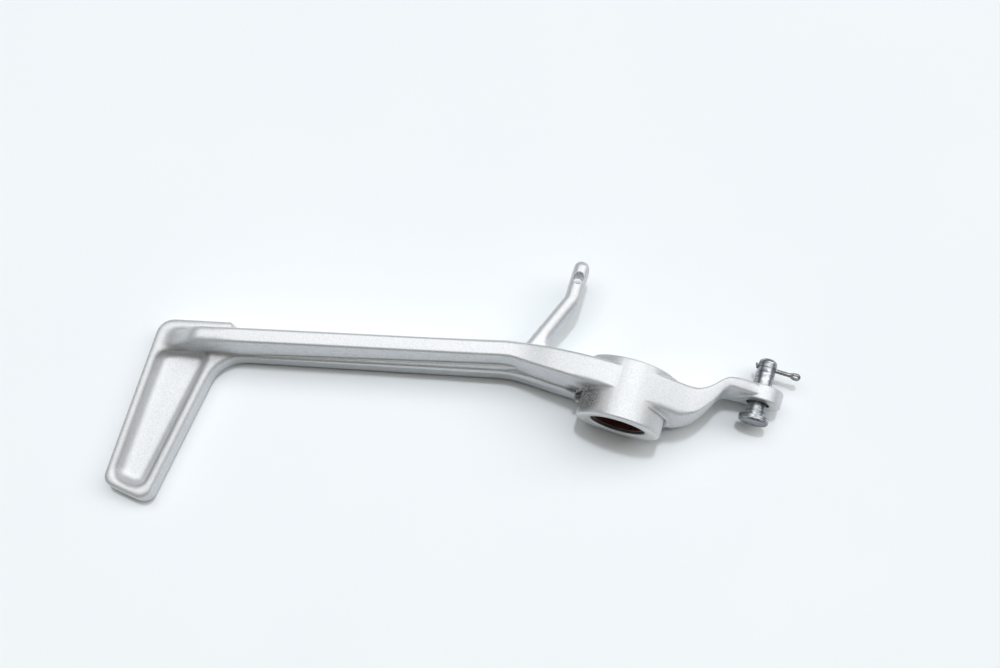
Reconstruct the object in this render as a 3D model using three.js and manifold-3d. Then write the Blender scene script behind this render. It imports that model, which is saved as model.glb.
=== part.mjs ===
// Foot lever of a motorcycle: a drop-forged light-alloy lever with a lined bush in its pivot hub, and the
// clevis pin and split pin of its push-rod joint. It lies as it does on a bench, underside up.
//
// Millimetres. +X runs from the foot pad to the push-rod lug, +Y from the outboard side to the machine's
// side, +Z up from the bench. The sizes count from the pivot axis and from the middle plane of the arm at
// the hub; at the end the whole part is centred on its outline, with the bench at zero.
import * as THREE from 'three';
import { mergeVertices } from 'three/addons/utils/BufferGeometryUtils.js';
import Module from 'manifold-3d';

const wasm = await Module();
wasm.setup();

// Pivot hub and its bore
const hubRadius = 14;
const hubOutboard = 13; // middle plane to the outboard end face
const hubInboard = 6.7; // middle plane to the inboard end face
const hubEdgeRadius = 0.6;
const hubFillet = 2; // between the hub's outboard end and the arm, and between it and the neck
const hubInboardFillet = 1.5;
const hubFilletDrop = 0.3; // the fillets' tops below the top of what they join
const boreRadius = 9;
const boreChamfer = 0.6;

// Wrapped bush: a steel shell with a bonded sliding layer
const bushBoreRadius = 8;
const bushLinerWall = 0.35;
const bushRecess = 1.3; // below both end faces of the hub
const bushSeamWidth = 0.5;
const bushSeamAngle = 215;
const fitGap = 0.04; // between pressed or bonded faces

// Arm in plan: the crank where the arm swings outboard, and its straight run to the foot pad
const crankReach = 39; // pivot to the crank
const crankAngle = 14.2;
const crankRadius = 34;
const padReach = 155.4; // pivot to the outer edge of the pad

// Rib of the arm: drafted, flat on top, on a base flange
const ribWidthAtPad = 5.4;
const ribWidthAtCrank = 5.6;
const ribWidthAtHub = 8.7;
const ribHeightAtPad = 19;
const ribHeightAtCrank = 21.2;
const ribHubDrop = 0.3; // over the pivot the rib runs out just inside the round of the hub
const ribRampStart = 2.4; // outer edge of the pad to the foot of the rib's ramp
const ribRampLength = 15;
const ribRampSpread = 2.4; // how far the ramp's rear slope spreads at its foot
const ribRampStep = 0.2; // the ramp starts below the pad's rim
const ribSunk = 2; // depth of the rib's root in the flange
const ribDraft = 5;
const ribEdgeRadius = 1.1;
const ribFootRadius = 0.8;

// Base flange of the arm. It leaves the pad at the height of its rim and rises toward the pivot axis, as the
// parting line does.
const flangeHeight = 7.5;
const flangeHeightAtCrank = 10.3;
const flangeHeightAtHub = 15.3;
const flangeWidthAtPad = 9.6;
const flangeWidthAtCrank = 10.8;
const flangeWidthAtHub = 12.2;
const flangeDraft = 4;
const flangeEdgeRadius = 0.7;
const footEdgeRadius = 0.9;
const archHeight = 1.6; // relief under the arm, so that it stands on the hub and the pad
const archRadius = 14; // where the relief runs out
const archReach = 127; // pivot to the end of the relief

// Foot pad: a pan that opens to the underside
const padSide = 56.9; // outer side, from the heel corner to the toe corner
const padToeWidth = 15.6;
const padHeelWidth = 22.5;
const padToeSkew = 7.2;
const padSideTaper = 1.2;
const padLedge = 7.1; // middle line of the arm to the rear edge of the pan
const padLedgeLength = 23.4;
const padToeRadius = 3.6;
const padHeelRadius = 6;
const padLedgeRadius = 1.2;
const padNotchRadius = 0.9;
const gussetRadius = 12;
const panWall = 2.9;
const panDepth = 3.5;
const panSlope = 1.4; // run of the pan's walls between rim and floor
const panRibSlope = 0.3; // the same beside the rib
const panFloorRadius = 1.3;
const panCornerRadius = 4;
const panInnerRadius = 2; // the corner between the rib and the inner side
const panEdgeRadius = 0.8;

// Tread of the foot pad, on its face toward the boot
const treadPitch = 5;
const treadWidth = 2.2;
const treadDepth = 0.8;
const treadSlope = 0.5;
const treadMargin = 3;

// Spring finger on the inboard side
const fingerRootReach = 35.1; // pivot to the finger's root, along the arm
const fingerTipReach = 25.9; // pivot to the finger's tip, along the arm
const fingerBend = 23; // middle plane to the bend
const fingerLength = 36.5; // middle plane to the end of the tip
const fingerWidth = 4.8;
const fingerTop = 17;
const fingerBottom = 9.3;
const fingerDraft = 3;
const fingerEdgeRadius = 2;
const fingerFootRadius = 1;
const fingerTipRadius = 2.2;
const fingerRootRadius = 3.5;
const fingerBendRadius = 7;
const springHoleRadius = 1.75;
const springHoleBreak = 0.45;
const springHoleEdge = 6.2; // end of the tip to the hole's centre

// Push-rod lug
const lugReach = 42.2;
const lugOffset = 11.8;
const lugDrop = 6; // pivot axis down to the pin's axis
const lugRadius = 7.4;
const lugThickness = 5.2;
const lugEdgeRadius = 0.5;
const lugHoleBreak = 0.6;

// Neck between the hub and the lug, with a double bend
const neckStart = 17.5; // pivot to the start of the bends
const neckOffset = 0.3; // middle plane of the arm to the neck's middle at the hub, outboard
const neckWidthAtHub = 10.8;
const neckWidthAtLug = 4.2;
const neckLugRecess = 0.2; // the neck's inboard side below the lug's face
const neckHeightAtHub = 22.8;
const neckLugDrop = 0.4; // the neck's top below the round of the lug
const neckUndersideAtHub = 3;
const neckUndersideAtLug = 1.2;
const neckDraft = 2;
const neckEdgeRadius = 1.2;

// Clevis pin with its head outboard, drawn back from the lug
const pinRadius = 3;
const pinLength = 20; // under the head
const pinHeadRadius = 5;
const pinHeadHeight = 2;
const pinHeadEdge = 0.5;
const pinEndRadius = 1.5;
const pinRunningGap = 0.08;
const pinDrawn = 4.6; // head to the lug as it lies
const crossHoleRadius = 0.8;
const crossHoleEdge = 3; // end of the pin to the cross hole

// Split pin, folded from half-round wire
const wireRadius = 0.68;
const legGap = 0.1;
const legLength = 11.2; // tip of the longer leg to the end of the parallel run
const tipReach = 1; // how far the longer leg stands out of the clevis pin
const shorterLeg = 0.4; // how much the other leg is shorter
const tipSpread = 0.5;
const eyeRadius = 0.7; // inside of the eye
const eyeTaper = 2.8; // length over which the legs open into the eye
const splitPinTurn = 48; // the eye lies turned out of the horizontal

// Facets of the round forms, and the overrun of every cut
const hubFacets = 72;
const pinFacets = 40;
const holeFacets = 20;
const wireFacets = 6;
const eyeFacets = 10;
const cornerFacets = 6;
const edgeFacets = 3;
const ribEdgeFacets = 4;
const filletFacets = 5;
const overrun = 1;

const radians = THREE.MathUtils.degToRad;
const slopeOf = (degrees) => Math.tan(radians(degrees));
const axisHeight = hubRadius;
const lugHeight = axisHeight - lugDrop;

// Turns a closed geometry into a solid: seams are welded, and the empty triangles at a welded pole are
// dropped.
function solidOf(geometry) {
  const bare = geometry.clone();
  bare.deleteAttribute('normal');
  bare.deleteAttribute('uv');
  const welded = mergeVertices(bare);
  const index = welded.index.array;
  const triangles = [];
  for (let i = 0; i < index.length; i += 3) {
    const [a, b, c] = index.slice(i, i + 3);
    if (a !== b && b !== c && c !== a) triangles.push(a, b, c);
  }
  return new wasm.Manifold(new wasm.Mesh({
    numProp: 3,
    vertProperties: new Float32Array(welded.attributes.position.array),
    triVerts: new Uint32Array(triangles),
  }));
}

function geometryOf(solid) {
  const mesh = solid.getMesh();
  const geometry = new THREE.BufferGeometry();
  geometry.setAttribute('position', new THREE.BufferAttribute(mesh.vertProperties, 3));
  geometry.setIndex(new THREE.BufferAttribute(mesh.triVerts, 1));
  geometry.computeVertexNormals();
  return geometry;
}

// Skins a run of closed rings of equal count and caps both ends. first and last are the end rings in their
// own planes, counter-clockwise seen against the direction of the run.
function loft(rings, first, last = first) {
  const count = rings[0].length;
  const index = [];
  for (let k = 0; k + 1 < rings.length; k++) {
    for (let i = 0; i < count; i++) {
      const j = (i + 1) % count;
      const [a, b, c, d] = [k * count + i, k * count + j, (k + 1) * count + j, (k + 1) * count + i];
      index.push(a, b, c, a, c, d);
    }
  }
  const end = (rings.length - 1) * count;
  for (const [a, b, c] of THREE.ShapeUtils.triangulateShape(first, [])) index.push(a, c, b);
  for (const [a, b, c] of THREE.ShapeUtils.triangulateShape(last, [])) index.push(end + a, end + b, end + c);
  const geometry = new THREE.BufferGeometry().setFromPoints(rings.flat());
  geometry.setIndex(index);
  return geometry;
}

// Smooth curve through [place, value] pairs that never overshoots between them.
function eased(table) {
  const slope = (i) => (table[i + 1][1] - table[i][1]) / (table[i + 1][0] - table[i][0]);
  const tangents = table.map((_, i) => {
    if (i === 0) return slope(0);
    if (i === table.length - 1) return slope(i - 1);
    const [before, after] = [slope(i - 1), slope(i)];
    return before * after > 0 ? (2 * before * after) / (before + after) : 0;
  });
  return (x) => {
    if (x <= table[0][0]) return table[0][1];
    const i = table.findIndex((row, k) => k + 1 < table.length && x <= table[k + 1][0]);
    if (i < 0) return table[table.length - 1][1];
    const step = table[i + 1][0] - table[i][0];
    const t = (x - table[i][0]) / step;
    const rise = (table[i + 1][1] - table[i][1]) * t * t * (3 - 2 * t);
    const lead = t * (1 - t) * (1 - t) * step * tangents[i];
    const trail = t * t * (1 - t) * step * tangents[i + 1];
    return table[i][1] + rise + lead - trail;
  };
}

// The same curve between two places and two values, from a table of shares of the run and of the rise.
function easedShares(from, to, start, end, shares) {
  return eased(shares.map(([run, rise]) => [from + run * (to - from), start + rise * (end - start)]));
}

// Evenly spaced places from one end to the other, both ends included.
function places(from, to, count) {
  return Array.from({ length: count + 1 }, (_, k) => from + ((to - from) * k) / count);
}

// A corner moved to the right of two directions of travel, by the same distance from both.
function mitred(corner, first, second, distance) {
  const right = new THREE.Vector2(first.y + second.y, -first.x - second.x);
  return corner.clone().addScaledVector(right, (2 * distance) / right.lengthSq());
}

// Moves every side of a counter-clockwise outline outward, or inward for a negative distance.
function grown(outline, distance) {
  return outline.map((point, i) => {
    const before = outline[(i + outline.length - 1) % outline.length];
    const after = outline[(i + 1) % outline.length];
    const first = point.clone().sub(before).normalize();
    const second = after.clone().sub(point).normalize();
    return mitred(point, first, second, distance);
  });
}

// Closed outline through corners [point, radius], each rounded by an arc that touches both of its sides.
function roundedOutline(corners) {
  return corners.flatMap(([corner, radius], i) => {
    if (!radius) return [corner];
    const [previous] = corners[(i + corners.length - 1) % corners.length];
    const [next] = corners[(i + 1) % corners.length];
    const back = previous.clone().sub(corner).normalize();
    const ahead = next.clone().sub(corner).normalize();
    const half = Math.acos(back.dot(ahead)) / 2;
    const bisector = back.clone().add(ahead).normalize();
    const centre = corner.clone().addScaledVector(bisector, radius / Math.sin(half));
    const start = corner.clone().addScaledVector(back, radius / Math.tan(half));
    const turn = -Math.sign(back.cross(ahead)) * (Math.PI - 2 * half);
    return places(0, turn, cornerFacets).map((angle) => start.clone().rotateAround(centre, angle));
  });
}

// Stacks outlines of equal count at rising heights: levels are [outline, height].
function stacked(levels) {
  const rings = levels.map(([outline, z]) => outline.map((p) => new THREE.Vector3(p.x, p.y, z)));
  return loft(rings, levels[0][0], levels[levels.length - 1][0]);
}

// A form turned about the Y axis from [radius, y] pairs in rising y.
function turned(profile, facets) {
  return new THREE.LatheGeometry(profile.map(([r, y]) => new THREE.Vector2(r, y)), facets);
}

// Quarter round of an edge as [inset, drop] pairs, from the end face to the side.
function edgeRound(radius, facets = edgeFacets) {
  return places(0, Math.PI / 2, facets).map((angle) => [
    radius * (1 - Math.sin(angle)),
    radius * (1 - Math.cos(angle)),
  ]);
}

// A disc about the Y axis between two end faces, with rounded edges.
function roundedDisc(radius, from, to, edge) {
  const rounds = edgeRound(edge);
  return turned([
    [0, from],
    ...rounds.map(([inset, drop]) => [radius - inset, from + drop]),
    ...rounds.reverse().map(([inset, drop]) => [radius - inset, to - drop]),
    [0, to],
  ], hubFacets);
}

// A cutter about the Y axis for a bore between two faces, with both mouths chamfered.
function boreCutter(radius, from, to, chamfer, facets) {
  const mouth = radius + chamfer + overrun;
  return turned([
    [0, from - overrun],
    [mouth, from - overrun],
    [radius, from + chamfer],
    [radius, to - chamfer],
    [mouth, to + overrun],
    [0, to + overrun],
  ], facets);
}

// A block whose walls lean out toward its foot, with both edges rounded. The outline is the one that the
// walls have at the top.
function draftedBlock(outline, bottom, top, slope, footRadius, edgeRadius, facets = edgeFacets) {
  const level = (z, inset) => [grown(outline, (top - z) * slope - inset), z];
  return stacked([
    ...edgeRound(footRadius).map(([inset, drop]) => level(bottom + drop, inset)),
    ...edgeRound(edgeRadius, facets).reverse().map(([inset, drop]) => level(top - drop, inset)),
  ]);
}

// Middle line of the straight arm at a place along X, or a line beside it.
function armLine(x, offset = 0) {
  return (x + crankReach) * slopeOf(crankAngle) + offset / Math.cos(radians(crankAngle));
}

// The point of such a line at a place along X.
function besideArm(x, offset) {
  return new THREE.Vector2(x, armLine(x, offset));
}

// Middle line of the whole arm: straight from the pad, round the crank, then square to the pivot.
function armMiddle(x) {
  const roundEnd = crankRadius * slopeOf(crankAngle / 2) - crankReach;
  const roundStart = roundEnd - crankRadius * Math.sin(radians(crankAngle));
  if (x < roundStart) return armLine(x);
  if (x > roundEnd) return 0;
  return Math.sqrt(crankRadius ** 2 - (roundEnd - x) ** 2) - crankRadius;
}

// Half width of the rib where it meets the flange beside the pad.
const ribFootAtPad = ribWidthAtPad / 2 + (ribHeightAtPad - flangeHeight) * slopeOf(ribDraft);

// Corners of the pad: toe and heel, on its outer side and on the side toward the hub.
const heelOuter = besideArm(-padReach, padLedge);
const toeOuter = new THREE.Vector2(padSideTaper - padReach, heelOuter.y - padSide);
const toeInner = new THREE.Vector2(toeOuter.x + padToeWidth, toeOuter.y - padToeWidth * slopeOf(padToeSkew));
const heelInner = besideArm(padHeelWidth - padReach, -flangeWidthAtPad / 2);

// Where the pad's ledge behind the arm ends, and where its end meets the flange.
const ledgeEnd = padLedgeLength - padReach;
const notch = ledgeEnd + (padLedge - flangeWidthAtPad / 2) * Math.sin(radians(crankAngle));

// Outline of the pad's inside at a distance from its outer walls. Its rear side lies beside the middle
// line of the arm. The corner between that side and the side toward the hub has a radius of its own.
function padInside(inset, rear, radius, innerRadius) {
  const sides = [
    [heelOuter, toeOuter, -inset],
    [toeOuter, toeInner, -inset],
    [toeInner, heelInner, -inset],
    [besideArm(0, rear), besideArm(-padReach, rear), 0],
  ].map(([from, to, distance]) => {
    const along = to.clone().sub(from).normalize();
    return [mitred(from, along, along, distance), along];
  });
  return roundedOutline(sides.map(([point, along], i) => {
    const [other, across] = sides[(i + 1) % sides.length];
    const run = other.clone().sub(point).cross(across) / along.cross(across);
    return [point.clone().addScaledVector(along, run), i === 2 ? innerRadius : radius];
  }));
}

// Height of the flange's top at a place along X: level over the pad, then rising in two straight runs.
function flangeTopAt(x) {
  const { mapLinear } = THREE.MathUtils;
  if (x > -crankReach) return mapLinear(x, -crankReach, 0, flangeHeightAtCrank, flangeHeightAtHub);
  return Math.max(flangeHeight, mapLinear(x, notch, -crankReach, flangeHeight, flangeHeightAtCrank));
}

// Pad and base flange of the arm: one drafted block with a rising top, arched underneath between the pad and
// the hub.
function baseSolid() {
  const crankShift = (flangeWidthAtCrank / 2) * slopeOf(crankAngle / 2);
  const outline = roundedOutline([
    [toeOuter, padToeRadius],
    [toeInner, padToeRadius],
    [heelInner, gussetRadius],
    [new THREE.Vector2(crankShift - crankReach, -flangeWidthAtCrank / 2), crankRadius],
    [new THREE.Vector2(0, -flangeWidthAtHub / 2), 0],
    [new THREE.Vector2(0, flangeWidthAtHub / 2), 0],
    [new THREE.Vector2(-crankShift - crankReach, flangeWidthAtCrank / 2), crankRadius],
    [besideArm(notch, flangeWidthAtPad / 2), padNotchRadius],
    [besideArm(ledgeEnd, padLedge), padLedgeRadius],
    [heelOuter, padHeelRadius],
  ]);
  const slope = slopeOf(flangeDraft);
  const block = draftedBlock(outline, 0, flangeHeight, slope, footEdgeRadius, flangeEdgeRadius);
  const points = block.attributes.position;
  for (let i = 0; i < points.count; i++) {
    const [x, z] = [points.getX(i), points.getZ(i)];
    if (z > flangeHeight / 2) points.setZ(i, z + flangeTopAt(x) - flangeHeight);
  }
  return solidOf(block).subtract(solidOf(archCutter()));
}

function archCutter() {
  const centreDrop = archRadius - archHeight;
  const centre = Math.sqrt(archRadius ** 2 - centreDrop ** 2) - archReach;
  const start = Math.PI - Math.asin((centreDrop - overrun) / archRadius);
  const arch = new THREE.Shape();
  arch.absarc(centre, -centreDrop, archRadius, start, Math.PI / 2, true);
  arch.lineTo(overrun, archHeight);
  arch.lineTo(overrun, -overrun);
  const cutter = new THREE.ExtrudeGeometry(arch, {
    depth: 2 * padSide,
    bevelEnabled: false,
    curveSegments: cornerFacets,
  });
  return cutter.rotateX(Math.PI / 2).translate(0, padSide, 0);
}

// Heights of the rib's top along X: up the ramp from the pad's rim, level along the arm, and from the crank
// in a long sweep to the top of the hub.
const rampFoot = ribRampStart - padReach;
const rampTop = rampFoot + ribRampLength;
const ribRampShares = [[0.2, 0.06], [0.45, 0.36], [0.65, 0.7], [0.82, 0.93]];
const ribHeightShares = [[0.35, 0.49], [0.64, 0.79], [0.85, 0.93]];
const ribWidthShares = [[0.08, 0.25], [0.36, 0.74], [0.65, 0.97]];

function towardHub(atCrank, atHub, shares) {
  return shares.map(([run, rise]) => [(run - 1) * crankReach, atCrank + rise * (atHub - atCrank)]);
}

const ribTopAt = eased([
  [rampFoot, flangeHeight - ribRampStep],
  ...ribRampShares.map(([run, rise]) => [
    rampFoot + run * ribRampLength,
    flangeHeight + rise * (ribHeightAtPad - flangeHeight),
  ]),
  [rampTop, ribHeightAtPad],
  [-crankReach, ribHeightAtCrank],
  ...towardHub(ribHeightAtCrank, 2 * hubRadius - ribHubDrop, ribHeightShares),
  [0, 2 * hubRadius - ribHubDrop],
]);

const ribWidthAt = eased([
  [rampTop, ribWidthAtPad],
  [-crankReach, ribWidthAtCrank],
  ...towardHub(ribWidthAtCrank, ribWidthAtHub, ribWidthShares),
  [0, ribWidthAtHub],
]);

// One side of the rib's section at a place along X, as [distance from the middle, height] from its foot to
// its top. Along the ramp the drafted wall turns into a soft slope, whose foot spreads.
function ribSide(x, spread) {
  const [base, top] = [flangeTopAt(x), ribTopAt(x)];
  const rise = top - base;
  const half = ribWidthAt(x) / 2;
  const foot = half + Math.max(0, rise - ribEdgeRadius) * slopeOf(ribDraft);
  const round = (radius) => edgeRound(THREE.MathUtils.clamp(radius, 0, Math.max(0, rise / 2)), ribEdgeFacets);
  const wall = [
    ...round(ribFootRadius).map(([inset, drop]) => [foot + inset, base + drop]),
    ...round(ribEdgeRadius).reverse().map(([inset, drop]) => [half - inset, top - drop]),
  ];
  const share = THREE.MathUtils.smoothstep(-x, -rampTop, -rampFoot);
  return wall.map(([u, z], i) => {
    const along = i / (wall.length - 1);
    const slope = THREE.MathUtils.lerp(foot + spread, half - ribEdgeRadius, along);
    return [
      THREE.MathUtils.lerp(u, slope, share),
      THREE.MathUtils.lerp(z, base + rise * THREE.MathUtils.smoothstep(along, 0, 1), share),
    ];
  });
}

// Rib of the arm, from the pad's heel to the middle of the hub. Its sections stand square to X.
function ribSolid() {
  const section = (x) => {
    const bottom = flangeTopAt(x) - ribSunk;
    const [front, rear] = [ribSide(x, 0), ribSide(x, ribRampSpread)];
    return [
      [rear[0][0], bottom],
      ...rear,
      ...front.map(([u, z]) => [-u, z]).reverse(),
      [-front[0][0], bottom],
    ].map(([u, z]) => new THREE.Vector2(u, z));
  };
  const stations = [
    ...places(rampFoot, rampTop, 14),
    ...places(rampTop, -crankReach - crankRadius * slopeOf(crankAngle), 8).slice(1),
    ...places(-crankReach - crankRadius * slopeOf(crankAngle), 0, 24).slice(1),
  ];
  const rings = stations.map((x) => section(x).map((p) => new THREE.Vector3(x, armMiddle(x) + p.x, p.y)));
  return solidOf(loft(rings, section(rampFoot), section(0)));
}

// Sides, top and underside of the neck along X. The two sides bend one after the other, so that the neck
// turns inboard, thins out and drops to the lug in one sweep.
const neckInboardShares = [[0, 0], [0.12, 0.03], [0.23, 0.15], [0.34, 0.39], [0.445, 0.7], [0.53, 0.86],
  [0.66, 0.95], [0.81, 0.99], [1, 1]];
const neckOutboardShares = [[0, 0], [0.2, 0.17], [0.33, 0.41], [0.43, 0.67], [0.48, 0.83], [0.57, 0.95],
  [1, 1]];
const neckTopShares = [[0.26, 0.24], [0.43, 0.41], [0.59, 0.59], [0.75, 0.77], [0.87, 0.91], [1, 1]];
const saddleShares = [[0, 0], [0.12, 0.01], [0.25, 0.07], [0.5, 0.36], [0.75, 0.68], [1, 1]];
const saddleShare = 0.985;
const neckHubInside = neckWidthAtHub / 2 - neckOffset;
const neckHubOutside = neckHubInside - neckWidthAtHub;
const neckLugInside = lugOffset + lugThickness / 2 - neckLugRecess;
const neckLugOutside = neckLugInside - neckWidthAtLug;

function neckRun(start, end, shares) {
  return easedShares(neckStart, lugReach, start, end, shares);
}

const neckInboardAt = neckRun(neckHubInside, neckLugInside, neckInboardShares);
const neckOutboardAt = neckRun(neckHubOutside, neckLugOutside, neckOutboardShares);
const neckTopAt = eased([
  ...saddleShares.map(([run, fall]) => [
    run * neckStart,
    THREE.MathUtils.lerp(2 * hubRadius * saddleShare, neckHeightAtHub, fall),
  ]),
  ...neckTopShares.map(([run, fall]) => [
    THREE.MathUtils.lerp(neckStart, lugReach, run),
    THREE.MathUtils.lerp(neckHeightAtHub, lugHeight + lugRadius - neckLugDrop, fall),
  ]),
]);
const neckBottomAt = neckRun(neckUndersideAtHub, neckUndersideAtLug, [[0, 0], [1, 1]]);

function neckSolid() {
  const section = (x) => {
    const top = neckTopAt(x);
    const bottom = neckBottomAt(x);
    const half = (neckInboardAt(x) - neckOutboardAt(x)) / 2;
    const foot = half + (top - bottom) * slopeOf(neckDraft);
    const side = [
      ...edgeRound(neckEdgeRadius).map(([inset, drop]) => [foot - inset, bottom + drop]),
      ...edgeRound(neckEdgeRadius).reverse().map(([inset, drop]) => [half - inset, top - drop]),
    ];
    return [...side, ...side.map(([u, z]) => [-u, z]).reverse()];
  };
  const stations = [...places(0, neckStart, 10), ...places(neckStart, lugReach, 26).slice(1)];
  const rings = stations.map((x) => {
    const middle = (neckInboardAt(x) + neckOutboardAt(x)) / 2;
    return section(x).map(([u, z]) => new THREE.Vector3(x, middle + u, z));
  });
  return solidOf(loft(rings, section(0).map(([u, z]) => new THREE.Vector2(u, z))));
}

// Fillet round the hub on both sides of the arm or of the neck: a disc with flared ends, cut to the height
// of what it joins. The same disc sunk to the hub's crest cuts it too, so that the fillet grows from nothing
// there down the sides. outboard and inboard are the sides that the flares run out on.
function hubFilletSolid(outboard, inboard, topAt, bottomAt, direction) {
  const flare = (radius) => edgeRound(radius, filletFacets).map(([inset, drop]) => [
    hubRadius + inset,
    radius - drop,
  ]).reverse();
  const disc = turned([
    [0, -outboard - hubFillet],
    ...flare(hubFillet).map(([r, y]) => [r, -outboard - y]),
    ...flare(hubInboardFillet).reverse().map(([r, y]) => [r, inboard + y]),
    [0, inboard + hubInboardFillet],
  ], hubFacets);
  const reach = places(0, direction * (hubRadius + hubFillet + overrun), 16);
  const profile = [
    ...reach.map((x) => new THREE.Vector2(x, topAt(x) - hubFilletDrop)),
    ...reach.reverse().map((x) => new THREE.Vector2(x, bottomAt(x))),
  ];
  const slab = new THREE.ExtrudeGeometry(new THREE.Shape(profile), {
    depth: 2 * hubOutboard,
    bevelEnabled: false,
  });
  slab.rotateX(Math.PI / 2).translate(0, hubOutboard, 0);
  const full = solidOf(disc.clone().translate(0, 0, axisHeight));
  const sunk = solidOf(disc.translate(0, 0, axisHeight - hubFillet));
  return full.intersect(sunk).intersect(solidOf(slab));
}

// Spring finger: a drafted bar with one bend, a rounded ridge and a hole near its tip. Its root is seated in
// the rib, with a fillet on both sides of it.
function fingerSolid() {
  const root = new THREE.Vector2(-fingerRootReach, 0);
  const bend = new THREE.Vector2(-fingerTipReach, fingerBend);
  const tip = new THREE.Vector2(-fingerTipReach, fingerLength);
  const out = bend.clone().sub(root).normalize();
  const inboard = new THREE.Vector2(0, 1);
  const half = fingerWidth / 2;
  const lean = Math.tan(Math.acos(out.x) / 2);
  const ribAt = (x) => new THREE.Vector2(x, armMiddle(x) + ribWidthAt(x) / 2);
  const rootAt = (side) => {
    const start = root.x + side / out.y;
    return ribAt(start + (ribWidthAt(start) / 2) * (out.x / out.y));
  };
  const [rootToPad, rootToHub] = [rootAt(-half), rootAt(half)];
  const seatToPad = ribAt(rootToPad.x - fingerRootRadius * lean - fingerEdgeRadius - overrun);
  const seatToHub = ribAt(rootToHub.x + fingerRootRadius / lean + fingerEdgeRadius + overrun);
  const depth = new THREE.Vector2(0, -ribWidthAtCrank);
  const outline = roundedOutline([
    [seatToPad.clone().add(depth), 0],
    [seatToHub.clone().add(depth), 0],
    [seatToHub, 0],
    [rootToHub, fingerRootRadius],
    [mitred(bend, out, inboard, half), fingerBendRadius + half],
    [mitred(tip, inboard, inboard, half), fingerTipRadius],
    [mitred(tip, inboard, inboard, -half), fingerTipRadius],
    [mitred(bend, out, inboard, -half), fingerBendRadius - half],
    [rootToPad, fingerRootRadius],
    [seatToPad, 0],
  ]);
  return solidOf(draftedBlock(outline, fingerBottom, fingerTop, slopeOf(fingerDraft), fingerFootRadius,
    fingerEdgeRadius, filletFacets));
}

function springHoleCutter() {
  const cutter = boreCutter(springHoleRadius, fingerBottom, fingerTop, springHoleBreak, holeFacets);
  return cutter.rotateX(Math.PI / 2).translate(-fingerTipReach, fingerLength - springHoleEdge, 0);
}

// The pan's hollow: walls that lean in, a rounded floor, and a small break at the rim. Beside the rib the
// hollow's wall carries on the side of the rib.
function panCutter() {
  const floor = flangeHeight - panDepth;
  const level = (z, extra) => {
    const share = (flangeHeight - z) / panDepth;
    const inset = panWall + panSlope * share + extra;
    const rear = -ribFootAtPad - panRibSlope * share - Math.max(0, extra);
    const corner = panCornerRadius - panSlope * share - extra;
    return [padInside(inset, rear, corner, Math.min(corner, panInnerRadius)), z];
  };
  return stacked([
    ...edgeRound(panFloorRadius).map(([inset, drop]) => level(floor + drop, inset)),
    ...edgeRound(panEdgeRadius).reverse().map(([inset, drop]) => level(
      flangeHeight - drop,
      inset - panEdgeRadius,
    )),
    level(flangeHeight + overrun, -panEdgeRadius),
  ]);
}

// Cross grooves of the tread, kept inside a margin of the pad's foot.
function treadCutter() {
  const rear = padLedge - treadMargin;
  const field = padInside(treadMargin, rear, padToeRadius, padToeRadius);
  const first = toeOuter.y + treadMargin;
  const count = Math.floor((heelOuter.y - treadMargin - first) / treadPitch);
  const grooves = Array.from({ length: count }, (_, k) => {
    const y = first + (k + 1) * treadPitch;
    const strip = (width) => [
      new THREE.Vector2(-padReach, y - width / 2),
      new THREE.Vector2(padHeelWidth - padReach, y - width / 2),
      new THREE.Vector2(padHeelWidth - padReach, y + width / 2),
      new THREE.Vector2(-padReach, y + width / 2),
    ];
    return solidOf(stacked([
      [strip(treadWidth), -overrun],
      [strip(treadWidth), 0],
      [strip(treadWidth - 2 * treadSlope), treadDepth],
    ]));
  });
  const field3d = solidOf(stacked([[field, -overrun], [field, treadDepth + overrun]]));
  return wasm.Manifold.union(grooves).intersect(field3d);
}

function leverGeometry() {
  const hub = roundedDisc(hubRadius, -hubOutboard, hubInboard, hubEdgeRadius);
  const lugFaces = [lugOffset - lugThickness / 2, lugOffset + lugThickness / 2];
  const lug = roundedDisc(lugRadius, ...lugFaces, lugEdgeRadius);
  const bore = boreCutter(boreRadius, -hubOutboard, hubInboard, boreChamfer, hubFacets);
  const pinHole = boreCutter(pinRadius + pinRunningGap, ...lugFaces, lugHoleBreak, pinFacets);
  const flatFoot = () => archHeight;
  const body = wasm.Manifold.union([
    baseSolid(),
    ribSolid(),
    hubFilletSolid(ribWidthAtHub / 2, ribWidthAtHub / 2, ribTopAt, flatFoot, -1),
    hubFilletSolid(flangeWidthAtHub / 2, ribWidthAtHub / 2, flangeTopAt, flatFoot, -1),
    hubFilletSolid(-neckHubOutside, neckHubInside, neckTopAt, neckBottomAt, 1),
    solidOf(hub.translate(0, 0, axisHeight)),
    neckSolid(),
    solidOf(lug.translate(lugReach, 0, lugHeight)),
    fingerSolid(),
  ]);
  const cuts = wasm.Manifold.union([
    solidOf(panCutter()),
    treadCutter(),
    solidOf(bore.translate(0, 0, axisHeight)),
    solidOf(pinHole.translate(lugReach, 0, lugHeight)),
    solidOf(springHoleCutter()),
  ]);
  return geometryOf(body.subtract(cuts));
}

// One layer of the wrapped bush about the Y axis, open at its seam.
function bushLayer(innerRadius, outerRadius) {
  const [from, to] = [bushRecess - hubOutboard, hubInboard - bushRecess];
  const ring = turned([
    [innerRadius, from],
    [outerRadius, from],
    [outerRadius, to],
    [innerRadius, to],
    [innerRadius, from],
  ], hubFacets);
  const seam = new THREE.BoxGeometry(boreRadius, to - from + 2 * overrun, bushSeamWidth);
  seam.translate(boreRadius, (from + to) / 2, 0).rotateY(radians(bushSeamAngle));
  return geometryOf(solidOf(ring).subtract(solidOf(seam)));
}

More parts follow.
